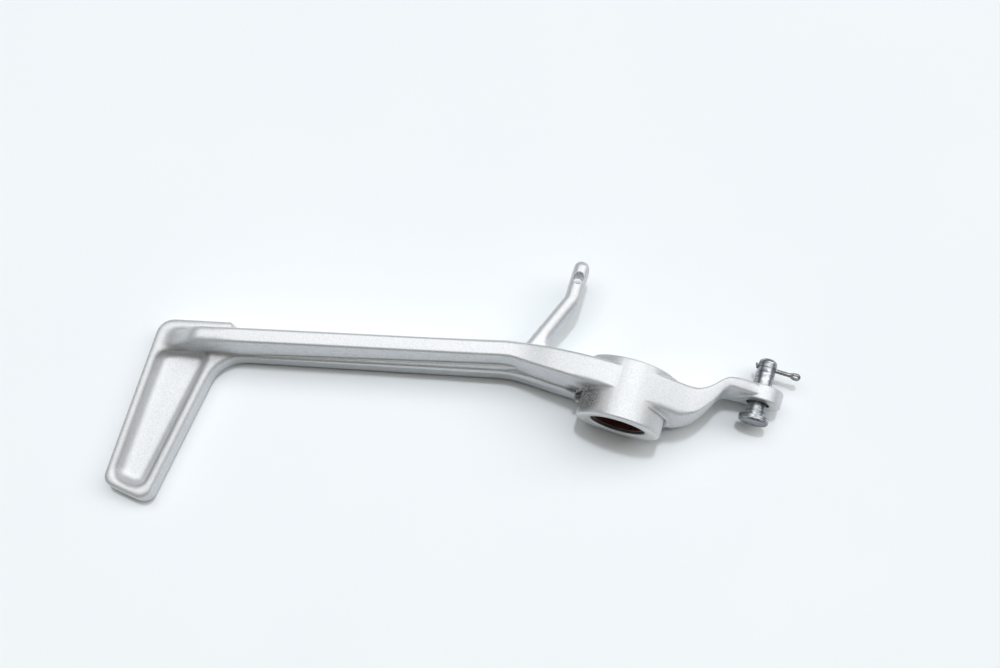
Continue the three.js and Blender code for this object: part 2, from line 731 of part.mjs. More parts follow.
// Clevis pin about the Y axis, with the underside of its head at zero.
function clevisPinGeometry() {
  const shank = turned([
    [0, -pinHeadHeight],
    [pinHeadRadius - pinHeadEdge, -pinHeadHeight],
    [pinHeadRadius, pinHeadEdge - pinHeadHeight],
    [pinHeadRadius, 0],
    [pinRadius, 0],
    ...edgeRound(pinEndRadius, filletFacets).reverse().map(([inset, drop]) => [
      pinRadius - inset,
      pinLength - drop,
    ]),
    [0, pinLength],
  ], pinFacets);
  const depth = 2 * (pinRadius + overrun);
  const hole = new THREE.CylinderGeometry(crossHoleRadius, crossHoleRadius, depth, holeFacets);
  hole.rotateZ(Math.PI / 2).translate(0, pinLength - crossHoleEdge, 0);
  return geometryOf(solidOf(shank).subtract(solidOf(hole)));
}

// Split pin along X through the clevis pin's axis, with its eye toward +X. The wire runs up the longer leg,
// round the eye and back, with its flat side inward.
function splitPinGeometry() {
  const legStart = -pinRadius - legGap;
  const legEnd = legLength - tipReach - pinRadius;
  const eye = legEnd + eyeTaper;
  const half = legGap / 2;
  const at = (x, y) => new THREE.Vector2(x, y);
  const opening = new THREE.CubicBezierCurve(
    at(legEnd, half),
    at(legEnd + eyeTaper / 2, half),
    at(eye - eyeTaper / 2, eyeRadius),
    at(eye, eyeRadius),
  );
  const leg = (reach) => [
    at(-pinRadius - reach, half + (tipSpread * (reach - legGap)) / (tipReach - legGap)),
    at(legStart, half),
    ...opening.getPoints(cornerFacets).slice(0, -1),
  ];
  const round = places(Math.PI / 2, -Math.PI / 2, eyeFacets).map((angle) => at(
    eye + eyeRadius * Math.cos(angle),
    eyeRadius * Math.sin(angle),
  ));
  const shorter = leg(tipReach - shorterLeg).map((point) => at(point.x, -point.y));
  const path = [...leg(tipReach), ...round, ...shorter.reverse()];
  const section = places(-Math.PI / 2, Math.PI / 2, wireFacets).map((angle) => at(
    wireRadius * Math.cos(angle),
    wireRadius * Math.sin(angle),
  ));
  const directions = path.slice(1).map((point, i) => point.clone().sub(path[i]).normalize());
  const rings = path.map((point, i) => section.map((s) => {
    const first = directions[Math.max(0, i - 1)];
    const second = directions[Math.min(i, directions.length - 1)];
    const place = mitred(point, first, second, -s.x);
    return new THREE.Vector3(place.x, place.y, s.y);
  }));
  return geometryOf(solidOf(loft(rings, section)));
}

function pieceOf(name, geometry, color, metalness, roughness) {
  const material = new THREE.MeshStandardMaterial({ color, metalness, roughness });
  const piece = new THREE.Mesh(geometry, material);
  piece.name = name;
  return piece;
}

const lever = pieceOf('lever_forging', leverGeometry(), 0xc8c9c8, 0.6, 0.45);

const linerRadius = bushBoreRadius + bushLinerWall;
const shellLayer = bushLayer(linerRadius + fitGap, boreRadius - fitGap);
const bushShell = pieceOf('bush_shell', shellLayer, 0x8d8f92, 0.9, 0.4);
const bushLiner = pieceOf('bush_liner', bushLayer(bushBoreRadius, linerRadius), 0x7a2a1c, 0, 0.6);
bushShell.position.z = axisHeight;
bushLiner.position.z = axisHeight;

const clevisPin = pieceOf('clevis_pin', clevisPinGeometry(), 0x4c4d50, 0.9, 0.35);
clevisPin.position.set(lugReach, lugOffset - lugThickness / 2 - pinDrawn, lugHeight);

const splitPin = pieceOf('split_pin', splitPinGeometry(), 0x8a8a88, 0.9, 0.35);
splitPin.position.copy(clevisPin.position);
splitPin.position.y += pinLength - crossHoleEdge;
splitPin.rotation.x = radians(splitPinTurn);

const part = new THREE.Group();
part.add(lever, bushShell, bushLiner, clevisPin, splitPin);
part.updateMatrixWorld();
const bounds = new THREE.Box3().setFromObject(part, true);
const centre = bounds.getCenter(new THREE.Vector3());
part.position.set(-centre.x, -centre.y, -bounds.min.z);
part.updateMatrixWorld();

export default part;
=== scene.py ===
"""Looks of a motorcycle's foot lever, a light-alloy forging that lies underside up on a pale bench.

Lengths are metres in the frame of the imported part, and a name that ends in _mm is in millimetres.
Y runs along the bush and the clevis pin, from the lever's outboard side to its inboard side.
"""
import logging
import math
from dataclasses import dataclass, replace
from enum import Enum
from typing import Any

import bpy
import numpy as np
from mathutils import Matrix, Vector


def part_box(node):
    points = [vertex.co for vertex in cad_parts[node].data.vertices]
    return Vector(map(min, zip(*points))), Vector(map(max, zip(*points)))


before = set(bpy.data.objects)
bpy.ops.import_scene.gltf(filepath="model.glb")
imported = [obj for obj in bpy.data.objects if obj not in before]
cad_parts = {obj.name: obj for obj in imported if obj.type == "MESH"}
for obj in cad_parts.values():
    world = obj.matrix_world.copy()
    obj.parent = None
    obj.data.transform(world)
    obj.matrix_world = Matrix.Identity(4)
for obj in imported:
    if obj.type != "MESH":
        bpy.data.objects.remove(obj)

MM = 0.001
SRGB_KNEE, SRGB_SLOPE, SRGB_OFFSET, SRGB_POWER = 0.04045, 12.92, 0.055, 2.4

Colour = tuple[float, float, float, float]
Tree = bpy.types.NodeTree
Socket = bpy.types.NodeSocket

log = logging.getLogger("foot_lever")


def linear(hex_colour: str) -> Colour:
    """Turns an sRGB colour into the linear colour that a shader takes.

    Args:
        hex_colour: six hex digits, with or without a leading mark.

    Returns:
        Red, green, blue and an alpha of one.
    """
    digits = hex_colour.lstrip("#")
    shares = [int(digits[i:i + 2], 16) / 255 for i in (0, 2, 4)]
    red, green, blue = (
        share / SRGB_SLOPE if share <= SRGB_KNEE
        else ((share + SRGB_OFFSET) / (1 + SRGB_OFFSET)) ** SRGB_POWER
        for share in shares
    )
    return (red, green, blue, 1.0)


def grey(value: float) -> Colour:
    """A plain grey of that linear value."""
    return (value, value, value, 1.0)


def packing(width_mm: float) -> float:
    """The scale of a pattern whose marks are that wide."""
    return 1 / (width_mm * MM)


def add_node(
    tree: Tree,
    kind: str,
    settings: dict[str | int, Any] | None = None,
    links: dict[str | int, Socket] | None = None,
) -> bpy.types.Node:
    """Adds one node with its settings and its incoming links.

    Args:
        tree: the node tree that gets the node.
        kind: the node's type name.
        settings: a property's name, or an input's name or number, to its value. The word stops
            gives a colour ramp's places and colours in rising order.
        links: an input's name or number to the output that feeds it.

    Returns:
        The new node.
    """
    node = tree.nodes.new(kind)
    for key, value in (settings or {}).items():
        if key == "stops":
            elements = node.color_ramp.elements
            while len(elements) < len(value):
                elements.new(1.0)
            for element, (place, colour) in zip(elements, value):
                element.position = place
                element.color = colour
        elif isinstance(key, str) and hasattr(node, key):
            setattr(node, key, value)
        else:
            node.inputs[key].default_value = value
    for key, output in (links or {}).items():
        tree.links.new(output, node.inputs[key])
    return node


def new_material(name: str) -> tuple[bpy.types.Material, Tree, Socket]:
    """Makes an empty node material with an output.

    Args:
        name: the real material and how its surface was made.

    Returns:
        The material, its tree, and the output's surface socket.
    """
    material = bpy.data.materials.new(name)
    material.use_nodes = True
    tree = material.node_tree
    tree.nodes.clear()
    output = add_node(tree, "ShaderNodeOutputMaterial")
    return material, tree, output.inputs["Surface"]


class Marks(Enum):
    """The way that fine marks run, as how tightly their pattern is packed along X, Y and Z."""

    EVEN = (1.0, 1.0, 1.0)
    ALONG_ARM = (0.045, 1.0, 1.0)
    ROUND_PIN = (0.12, 1.0, 0.12)


@dataclass(frozen=True)
class Patch:
    """A soft-edged round region of a surface, about a point or about an axis that runs along Y.

    Args:
        centre: the point, or a point on the axis.
        radius_mm: how far the region reaches.
        fade_mm: the width of its soft edge.
        low_y: where a region about an axis starts along Y, or nothing for one about a point.
        high_y: where it ends.
    """

    centre: Vector
    radius_mm: float
    fade_mm: float
    low_y: float | None = None
    high_y: float | None = None

    def mask(self, tree: Tree, place: Socket) -> Socket:
        """One inside the region, nought outside.

        Args:
            tree: the material's tree.
            place: the surface point's place.

        Returns:
            The mask's value output.
        """
        about_axis = self.low_y is not None
        from_place = place
        if about_axis:
            parts = add_node(tree, "ShaderNodeSeparateXYZ", links={0: place})
            from_place = add_node(tree, "ShaderNodeCombineXYZ", links={
                0: parts.outputs[0], 2: parts.outputs[2],
            }).outputs[0]
        to_place = (self.centre.x, 0.0 if about_axis else self.centre.y, self.centre.z)
        span = add_node(tree, "ShaderNodeVectorMath", {"operation": "DISTANCE", 1: to_place}, {
            0: from_place,
        })
        inside = add_node(tree, "ShaderNodeMapRange", {
            "interpolation_type": "SMOOTHSTEP",
            "From Min": self.radius_mm * MM, "From Max": (self.radius_mm - self.fade_mm) * MM,
        }, {"Value": span.outputs["Value"]}).outputs["Result"]
        if not about_axis:
            return inside
        middle = (self.low_y + self.high_y) / 2
        half = (self.high_y - self.low_y) / 2
        within = add_node(tree, "ShaderNodeMath", {
            "operation": "COMPARE", 1: middle, 2: half,
        }, {0: parts.outputs[1]})
        return add_node(tree, "ShaderNodeMath", {"operation": "MULTIPLY"}, {
            0: inside, 1: within.outputs[0],
        }).outputs[0]


def joined_mask(tree: Tree, place: Socket, patches: list[Patch]) -> Socket:
    """The greatest of several patches' masks.

    Args:
        tree: the material's tree.
        place: the surface point's place.
        patches: the regions.

    Returns:
        The joined mask's value output.
    """
    total, *others = [patch.mask(tree, place) for patch in patches]
    for mask in others:
        total = add_node(tree, "ShaderNodeMath", {"operation": "MAXIMUM"}, {
            0: total, 1: mask,
        }).outputs[0]
    return total


@dataclass(frozen=True)
class BlastedForging:
    """Drop-forged aluminium alloy, shot-blasted and thinly lacquered, with turned end faces.

    The blasting leaves shallow pits that break every reflection into a fine satin grain, so tops
    look almost white and walls a soft grey. The pits are 0.2 mm wide and drawn at 0.38 mm, the
    finest that the render shows. The thin matt lacquer scatters part of the light, so slopes stay
    pale as well. Die marks run along the arm's walls. Rubbed edges are a little brighter, and the
    same brightening is a painted highlight on every edge, inner ones too. Painted shade darkens
    the inner corners, the foot of the arm's outboard wall and the ring round the pin's hole. The
    bush's seat has a dull stain with painted shade, and beside the hub dirt specks lie in painted
    shade.

    A name that ends in _range holds where an effect starts and where it is full.

    Args:
        colour: the metal between the pits.
        pit_colour: the metal in the pits.
        rubbed_and_highlight_colour: the edges that are rubbed bright, with a painted highlight on
            every edge.
        turned_colour: the turned faces.
        dirt_and_shade_colour: the painted shade in the inner corners, and the dirt specks with
            painted shade beside the hub.
        stain_and_shade_colour: dulled metal with painted shade in the bush's seat, and the painted
            shade at the foot of the arm's outboard wall.
        pin_hole_shade_colour: the painted shade round the pin's hole in the lug.
        metal_share: how much of the light comes back as from bare metal, past the lacquer.
        roughness: how blurred the blasted metal's reflections are.
        turned_roughness: the same for the turned faces.
        crisp_edge_mm: how far an edge is rounded in shading.
        soft_edge_mm: the same where the blasting has rounded the edges most.
        pit_width_mm: the width of one pit as it is drawn.
        pit_stops: the places of both metal colours on the pattern of the pits.
        pit_strength: how strongly the pits tilt the surface.
        pit_depth_mm: how deep they are.
        wave_width_mm: the width of the slow unevenness of the forging's skin.
        wave_strength: how strongly it tilts the surface.
        wave_depth_mm: how deep it is.
        mark_width_mm: the width of one die mark.
        mark_stops: the places and the greys of the die marks on their pattern.
        mark_amount: how plainly the die marks show.
        wall_range: how far a face points up or down, for the die marks.
        rubbed_highlight_width_mm: how far the rubbing and painted highlight reach from an edge.
        rubbed_highlight_range: the cosine of the rounded normal's turn, for the rubbing and painted
            highlight.
        rubbed_highlight_amount: how plainly they show.
        corner_shade_reach_mm: how far the painted shade of an inner corner reaches.
        corner_shade_range: how open the surface is, for the painted shade in inner corners.
        corner_shade_amount: how plainly that painted shade shows.
        speck_width_mm: the width of one dirt speck.
        speck_range: the specks' pattern, where they start and where they are full.
        speck_amounts: how plainly the dirt and painted shade show between the specks, and in them.
        wall_shade_height_mm: how high over the bench the painted shade on the arm's outboard wall
            reaches.
        wall_shade_fade_mm: the height over which it fades out.
        wall_shade_amount: how plainly it shows.
        outboard_range: how far a face points inboard, for that painted shade.
    """

    colour: str = "#e6e8eb"
    pit_colour: str = "#d5d8dc"
    rubbed_and_highlight_colour: str = "#eceded"
    turned_colour: str = "#e0e2e3"
    dirt_and_shade_colour: str = "#5d5b58"
    stain_and_shade_colour: str = "#6b6c6a"
    pin_hole_shade_colour: str = "#171513"
    metal_share: float = 0.72
    roughness: float = 0.54
    turned_roughness: float = 0.34
    crisp_edge_mm: float = 0.35
    soft_edge_mm: float = 2.6
    pit_width_mm: float = 0.38
    pit_stops: tuple[float, float] = (0.34, 0.56)
    pit_strength: float = 0.35
    pit_depth_mm: float = 0.03
    wave_width_mm: float = 11.0
    wave_strength: float = 0.25
    wave_depth_mm: float = 0.25
    mark_width_mm: float = 0.55
    mark_stops: tuple[tuple[float, float], ...] = ((0.36, 0.62), (0.5, 0.95), (0.64, 1.0))
    mark_amount: float = 0.4
    wall_range: tuple[float, float] = (0.6, 0.2)
    rubbed_highlight_width_mm: float = 0.6
    rubbed_highlight_range: tuple[float, float] = (0.995, 0.9)
    rubbed_highlight_amount: float = 0.7
    corner_shade_reach_mm: float = 2.5
    corner_shade_range: tuple[float, float] = (0.55, 0.1)
    corner_shade_amount: float = 0.5
    speck_width_mm: float = 0.55
    speck_range: tuple[float, float] = (0.38, 0.58)
    speck_amounts: tuple[float, float] = (0.35, 0.9)
    wall_shade_height_mm: float = 8.0
    wall_shade_fade_mm: float = 1.0
    wall_shade_amount: float = 0.42
    outboard_range: tuple[float, float] = (-0.6, -0.9)

    def material(
        self,
        softened: list[Patch],
        turned: list[Patch],
        dirt_and_shade_spots: list[Patch],
        stained_and_shaded: list[Patch],
        wall_shade_stretch: list[Patch],
        pin_hole_shade: list[Patch],
    ) -> bpy.types.Material:
        """Builds the material.

        Args:
            softened: where the blasting has rounded the edges most.
            turned: where the turned faces lie.
            dirt_and_shade_spots: where dirt specks lie with painted shade, on the hub's side and in
                the corner by the arm.
            stained_and_shaded: where the bare metal has gone dull and dark, with painted shade, in
                the bush's seat.
            wall_shade_stretch: the stretch of the arm whose outboard wall gets painted shade at its
                foot.
            pin_hole_shade: where painted shade lies round the pin's hole.

        Returns:
            The material.
        """
        material, tree, surface = new_material("shot_blasted_forged_aluminium")
        place = add_node(tree, "ShaderNodeTexCoord").outputs["Object"]
        on_soft, on_turned, on_dirt_and_shade_spots, on_stain_and_shade, on_wall_shade, on_pin_hole_shade = (
            joined_mask(tree, place, patches)
            for patches in (softened, turned, dirt_and_shade_spots, stained_and_shaded, wall_shade_stretch, pin_hole_shade)
        )
        pits = add_node(tree, "ShaderNodeTexNoise", {
            "Scale": packing(self.pit_width_mm), "Detail": 2.0, "Roughness": 0.7,
        }, {"Vector": place}).outputs["Fac"]
        waves = add_node(tree, "ShaderNodeTexNoise", {
            "Scale": packing(self.wave_width_mm), "Detail": 2.0,
        }, {"Vector": place}).outputs["Fac"]
        colour = self.grain(tree, place, pits)
        colour = self.rubbed_edges_and_highlight(tree, colour)
        colour = self.corner_shade_and_dirt(tree, place, colour, on_dirt_and_shade_spots)
        colour = self.low_wall_painted_shade(tree, place, colour, on_wall_shade)
        # Turned faces get their colour, the bush's seat its stain with painted shade, the ring
        # round the pin's hole its painted shade.
        for mask, tint in (
            (on_turned, self.turned_colour),
            (on_stain_and_shade, self.stain_and_shade_colour),
            (on_pin_hole_shade, self.pin_hole_shade_colour),
        ):
            colour = add_node(tree, "ShaderNodeMix", {"data_type": "RGBA", "B": linear(tint)}, {
                "Factor": mask, "A": colour,
            }).outputs["Result"]
        metal = add_node(tree, "ShaderNodeMapRange", {
            "To Min": self.metal_share, "To Max": 0.0,
        }, {"Value": on_pin_hole_shade})
        rough = add_node(tree, "ShaderNodeMapRange", {
            "To Min": self.roughness, "To Max": self.turned_roughness,
        }, {"Value": on_turned})
        edge_radius = add_node(tree, "ShaderNodeMapRange", {
            "To Min": self.crisp_edge_mm * MM, "To Max": self.soft_edge_mm * MM,
        }, {"Value": on_soft})
        normal = add_node(tree, "ShaderNodeBevel", {"samples": 8}, {
            "Radius": edge_radius.outputs["Result"],
        }).outputs["Normal"]
        for height, strength, depth_mm in (
            (pits, self.pit_strength, self.pit_depth_mm),
            (waves, self.wave_strength, self.wave_depth_mm),
        ):
            normal = add_node(tree, "ShaderNodeBump", {
                "Strength": strength, "Distance": depth_mm * MM,
            }, {"Height": height, "Normal": normal}).outputs["Normal"]
        shader = add_node(tree, "ShaderNodeBsdfPrincipled", links={
            "Base Color": colour,
            "Metallic": metal.outputs["Result"],
            "Roughness": rough.outputs["Result"],
            "Normal": normal,
        })
        tree.links.new(shader.outputs["BSDF"], surface)
        return material

    def grain(self, tree: Tree, place: Socket, pits: Socket) -> Socket:
        """The blasted metal's colour, with the die marks along the arm's walls.

        Args:
            tree: the material's tree.
            place: the surface point's place.
            pits: the pattern of the pits.

        Returns:
            The colour output.
        """
        colours = (linear(self.pit_colour), linear(self.colour))
        base = add_node(tree, "ShaderNodeValToRGB", {
            "stops": list(zip(self.pit_stops, colours)),
        }, {0: pits})
        along = add_node(tree, "ShaderNodeMapping", {"Scale": Marks.ALONG_ARM.value}, {
            "Vector": place,
        })
        marks = add_node(tree, "ShaderNodeTexNoise", {
            "Scale": packing(self.mark_width_mm), "Detail": 3.0, "Roughness": 0.6,
        }, {"Vector": along.outputs["Vector"]})
        lines = add_node(tree, "ShaderNodeValToRGB", {
            "stops": [(stop, grey(value)) for stop, value in self.mark_stops],
        }, {0: marks.outputs["Fac"]})
        facing = add_node(tree, "ShaderNodeSeparateXYZ", links={
            0: add_node(tree, "ShaderNodeNewGeometry").outputs["Normal"],
        })
        steep = add_node(tree, "ShaderNodeMath", {"operation": "ABSOLUTE"}, {
            0: facing.outputs[2],
        })
        on_wall = add_node(tree, "ShaderNodeMapRange", {
            "From Min": self.wall_range[0], "From Max": self.wall_range[1],
            "To Max": self.mark_amount,
        }, {"Value": steep.outputs[0]})
        return add_node(tree, "ShaderNodeMix", {"data_type": "RGBA", "blend_type": "MULTIPLY"}, {
            "Factor": on_wall.outputs["Result"],
            "A": base.outputs["Color"],
            "B": lines.outputs["Color"],
        }).outputs["Result"]

    def rubbed_edges_and_highlight(self, tree: Tree, colour: Socket) -> Socket:
        """Brightens every edge, inner and outer, as rubbed metal and as a painted highlight, found
        where a rounded normal leaves the surface's own.

        Args:
            tree: the material's tree.
            colour: the colour so far.

        Returns:
            The colour output.
        """
        # Painted highlight along with the rubbing: the edge mask lightens the colour.
        rounded = add_node(tree, "ShaderNodeBevel", {
            "samples": 4, "Radius": self.rubbed_highlight_width_mm * MM,
        })
        own = add_node(tree, "ShaderNodeNewGeometry").outputs["Normal"]
        turn = add_node(tree, "ShaderNodeVectorMath", {"operation": "DOT_PRODUCT"}, {
            0: rounded.outputs["Normal"], 1: own,
        })
        edge_wear_and_highlight = add_node(tree, "ShaderNodeMapRange", {
            "From Min": self.rubbed_highlight_range[0], "From Max": self.rubbed_highlight_range[1],
            "To Max": self.rubbed_highlight_amount,
        }, {"Value": turn.outputs["Value"]})
        return add_node(tree, "ShaderNodeMix", {
            "data_type": "RGBA", "B": linear(self.rubbed_and_highlight_colour),
        }, {"Factor": edge_wear_and_highlight.outputs["Result"], "A": colour}).outputs["Result"]

    def corner_shade_and_dirt(self, tree: Tree, place: Socket, colour: Socket, dirt_and_shade_spots_mask: Socket) -> Socket:
        """Paints shade into inner corners a little, and speckles the regions where dirt lies, with
        painted shade between the specks.

        Args:
            tree: the material's tree.
            place: the surface point's place.
            colour: the colour so far.
            dirt_and_shade_spots_mask: the mask of the regions with dirt specks and painted shade.

        Returns:
            The colour output.
        """
        # Painted shade: inner corners darken where ambient occlusion finds them.
        nook = add_node(tree, "ShaderNodeAmbientOcclusion", {
            "samples": 8, "Distance": self.corner_shade_reach_mm * MM,
        })
        in_corner_shade = add_node(tree, "ShaderNodeMapRange", {
            "From Min": self.corner_shade_range[0], "From Max": self.corner_shade_range[1],
            "To Max": self.corner_shade_amount,
        }, {"Value": nook.outputs["AO"]})
        specks = add_node(tree, "ShaderNodeTexNoise", {
            "Scale": packing(self.speck_width_mm), "Detail": 4.0, "Roughness": 0.75,
        }, {"Vector": place})
        speckled = add_node(tree, "ShaderNodeMapRange", {
            "From Min": self.speck_range[0], "From Max": self.speck_range[1],
            "To Min": self.speck_amounts[0], "To Max": self.speck_amounts[1],
        }, {"Value": specks.outputs["Fac"]})
        in_patch = add_node(tree, "ShaderNodeMath", {"operation": "MULTIPLY"}, {
            0: speckled.outputs["Result"], 1: dirt_and_shade_spots_mask,
        })
        amount = add_node(tree, "ShaderNodeMath", {"operation": "MAXIMUM"}, {
            0: in_corner_shade.outputs["Result"], 1: in_patch.outputs[0],
        })
        return add_node(tree, "ShaderNodeMix", {
            "data_type": "RGBA", "B": linear(self.dirt_and_shade_colour),
        }, {"Factor": amount.outputs[0], "A": colour}).outputs["Result"]

    def low_wall_painted_shade(self, tree: Tree, place: Socket, colour: Socket, stretch: Socket) -> Socket:
        """Paints shade on the foot of the wall on the arm's outboard side, below the parting line.

        Args:
            tree: the material's tree.
            place: the surface point's place.
            colour: the colour so far.
            stretch: the mask of the arm's length that gets the painted shade.

        Returns:
            The colour output.
        """
        height = add_node(tree, "ShaderNodeSeparateXYZ", links={0: place}).outputs[2]
        low = add_node(tree, "ShaderNodeMapRange", {
            "From Min": self.wall_shade_height_mm * MM,
            "From Max": (self.wall_shade_height_mm - self.wall_shade_fade_mm) * MM,
            "To Max": self.wall_shade_amount,
        }, {"Value": height})
        facing = add_node(tree, "ShaderNodeSeparateXYZ", links={
            0: add_node(tree, "ShaderNodeNewGeometry").outputs["Normal"],
        })
        outboard = add_node(tree, "ShaderNodeMapRange", {
            "From Min": self.outboard_range[0], "From Max": self.outboard_range[1],
        }, {"Value": facing.outputs[1]})
        amount = stretch
        for mask in (low, outboard):
            amount = add_node(tree, "ShaderNodeMath", {"operation": "MULTIPLY"}, {
                0: amount, 1: mask.outputs["Result"],
            }).outputs[0]
        return add_node(tree, "ShaderNodeMix", {
            "data_type": "RGBA", "B": linear(self.stain_and_shade_colour),
        }, {"Factor": amount, "A": colour}).outputs["Result"]


@dataclass(frozen=True)
class Ring:
    """A dark ring round a pin.

    Args:
        place: where its middle lies along the pin.
        half_width: half its width.
        depth: how dark it is, from nought to one.
    """

    place: float
    half_width: float
    depth: float


@dataclass(frozen=True)
class WornSteel:
    """A small steel piece: bright metal, an uneven dark film of oil, and turned or drawn marks.

    Args:
        name: the metal and how its surface was made.
        bright: the bare metal's colour.
        dark: the film's colour.
        roughness: how blurred the bare metal's reflections are.
        marks: the way that the marks run.
        mark_width_mm: the width of one mark.
        film_width_mm: the width of one cloud of the film.
        rings: the dark rings round a pin.
        film_blur: how many times rougher the film is than the metal.
        mark_share: the marks' share in the pattern, where the film has the rest.
        clean_range: the pattern, where bare metal starts and where it is clean.
        mark_strength: how strongly the pattern tilts the surface.
        mark_depth_mm: how deep it is.
        ring_core: the share of a ring's width that is fully dark.
    """

    name: str
    bright: str
    dark: str
    roughness: float
    marks: Marks = Marks.EVEN
    mark_width_mm: float = 0.4
    film_width_mm: float = 2.2
    rings: tuple[Ring, ...] = ()
    film_blur: float = 1.5
    mark_share: float = 0.45
    clean_range: tuple[float, float] = (0.4, 0.58)
    mark_strength: float = 0.3
    mark_depth_mm: float = 0.02
    ring_core: float = 0.6

    def material(self) -> bpy.types.Material:
        """Builds the material.

        Returns:
            The material.
        """
        material, tree, surface = new_material(self.name)
        place = add_node(tree, "ShaderNodeTexCoord").outputs["Object"]
        film = add_node(tree, "ShaderNodeTexNoise", {
            "Scale": packing(self.film_width_mm), "Detail": 6.0, "Roughness": 0.65,
        }, {"Vector": place})
        film_part = add_node(tree, "ShaderNodeMath", {
            "operation": "MULTIPLY", 1: 1 - self.mark_share,
        }, {0: film.outputs["Fac"]})
        packed = add_node(tree, "ShaderNodeMapping", {"Scale": self.marks.value}, {
            "Vector": place,
        })
        marks = add_node(tree, "ShaderNodeTexNoise", {
            "Scale": packing(self.mark_width_mm), "Detail": 2.0,
        }, {"Vector": packed.outputs["Vector"]})
        both = add_node(tree, "ShaderNodeMath", {
            "operation": "MULTIPLY_ADD", 1: self.mark_share,
        }, {0: marks.outputs["Fac"], 2: film_part.outputs[0]}).outputs[0]
        clean = add_node(tree, "ShaderNodeMapRange", {
            "From Min": self.clean_range[0], "From Max": self.clean_range[1],
        }, {"Value": both}).outputs["Result"]
        along = add_node(tree, "ShaderNodeSeparateXYZ", links={0: place}).outputs[1]
        for ring in self.rings:
            off = add_node(tree, "ShaderNodeMath", {"operation": "SUBTRACT", 1: ring.place}, {
                0: along,
            })
            span = add_node(tree, "ShaderNodeMath", {"operation": "ABSOLUTE"}, {
                0: off.outputs[0],
            })
            kept = add_node(tree, "ShaderNodeMapRange", {
                "From Min": ring.half_width * self.ring_core, "From Max": ring.half_width,
                "To Min": 1 - ring.depth, "To Max": 1.0,
            }, {"Value": span.outputs[0]})
            clean = add_node(tree, "ShaderNodeMath", {"operation": "MULTIPLY"}, {
                0: clean, 1: kept.outputs["Result"],
            }).outputs[0]
        colour = add_node(tree, "ShaderNodeMix", {
            "data_type": "RGBA", "A": linear(self.dark), "B": linear(self.bright),
        }, {"Factor": clean})
        rough = add_node(tree, "ShaderNodeMapRange", {
            "To Min": self.roughness * self.film_blur, "To Max": self.roughness,
        }, {"Value": clean})
        bump = add_node(tree, "ShaderNodeBump", {
            "Strength": self.mark_strength, "Distance": self.mark_depth_mm * MM,
        }, {"Height": both})
        shader = add_node(tree, "ShaderNodeBsdfPrincipled", {"Metallic": 1.0}, {
            "Base Color": colour.outputs["Result"],
            "Roughness": rough.outputs["Result"],
            "Normal": bump.outputs["Normal"],
        })
        tree.links.new(shader.outputs["BSDF"], surface)
        return material


@dataclass(frozen=True)
class SlidingLayer:
    """Bonded sliding layer of a wrapped bush: dark red-brown filled resin, burnished in use.

    Args:
        colour: the resin.
        burnished: the resin where the shaft has polished it.
        dust: the dust that lies on it.
        fleck_width_mm: the width of one burnished fleck.
        fleck_stops: the places of both resin colours on the flecks' pattern.
        dust_width_mm: the width of one cloud of dust.
        dust_range: the dust's pattern, where it starts and where it is full.
        dust_amount: how plainly the dust shows.
        roughness: how blurred the layer's reflections are.
    """

    colour: str = "#4a1f1d"
    burnished: str = "#6b3230"
    dust: str = "#55504a"
    fleck_width_mm: float = 0.6
    fleck_stops: tuple[float, float] = (0.4, 0.62)
    dust_width_mm: float = 3.0
    dust_range: tuple[float, float] = (0.52, 0.68)
    dust_amount: float = 0.6
    roughness: float = 0.5

    def material(self) -> bpy.types.Material:
        """Builds the material.

        Returns:
            The material.
        """
        material, tree, surface = new_material("filled_resin_sliding_layer")
        place = add_node(tree, "ShaderNodeTexCoord").outputs["Object"]
        flecks = add_node(tree, "ShaderNodeTexNoise", {
            "Scale": packing(self.fleck_width_mm), "Detail": 4.0,
        }, {"Vector": place})
        colours = (linear(self.colour), linear(self.burnished))
        base = add_node(tree, "ShaderNodeValToRGB", {
            "stops": list(zip(self.fleck_stops, colours)),
        }, {0: flecks.outputs["Fac"]})
        clouds = add_node(tree, "ShaderNodeTexNoise", {
            "Scale": packing(self.dust_width_mm), "Detail": 5.0,
        }, {"Vector": place})
        dusty = add_node(tree, "ShaderNodeMapRange", {
            "From Min": self.dust_range[0], "From Max": self.dust_range[1],
            "To Max": self.dust_amount,
        }, {"Value": clouds.outputs["Fac"]})
        colour = add_node(tree, "ShaderNodeMix", {"data_type": "RGBA", "B": linear(self.dust)}, {
            "Factor": dusty.outputs["Result"], "A": base.outputs["Color"],
        })
        shader = add_node(tree, "ShaderNodeBsdfPrincipled", {"Roughness": self.roughness}, {
            "Base Color": colour.outputs["Result"],
        })
        tree.links.new(shader.outputs["BSDF"], surface)
        return material


@dataclass
class CarriedPiece:
    """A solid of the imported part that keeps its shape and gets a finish.

    Args:
        node: the solid's name in the frame.
        sharp_angle_deg: how far two faces turn where the edge between them stays sharp.
        weld_mm: how near two corners lie that are joined for shading.
        face_weight: how much more a large face counts in the shading, where 50 is even.
    """

    node: str
    sharp_angle_deg: float = 32.0
    weld_mm: float = 0.0005
    face_weight: int = 60

    def dress(self, material: bpy.types.Material) -> None:
        """Gives the piece its finish and smooth shading between its sharp edges.

        Args:
            material: the piece's finish.
        """
        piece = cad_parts[self.node]
        piece.data.materials.clear()
        piece.data.materials.append(material)
        smooth = np.ones(len(piece.data.polygons), dtype=bool)
        piece.data.polygons.foreach_set("use_smooth", smooth)
        weld = piece.modifiers.new("weld", "WELD")
        weld.merge_threshold = self.weld_mm * MM
        split = piece.modifiers.new("sharp_edges", "EDGE_SPLIT")
        split.split_angle = math.radians(self.sharp_angle_deg)
        weighted = piece.modifiers.new("face_weighted_normals", "WEIGHTED_NORMAL")
        weighted.weight = self.face_weight
        log.info("%s dressed with %s", self.node, material.name)


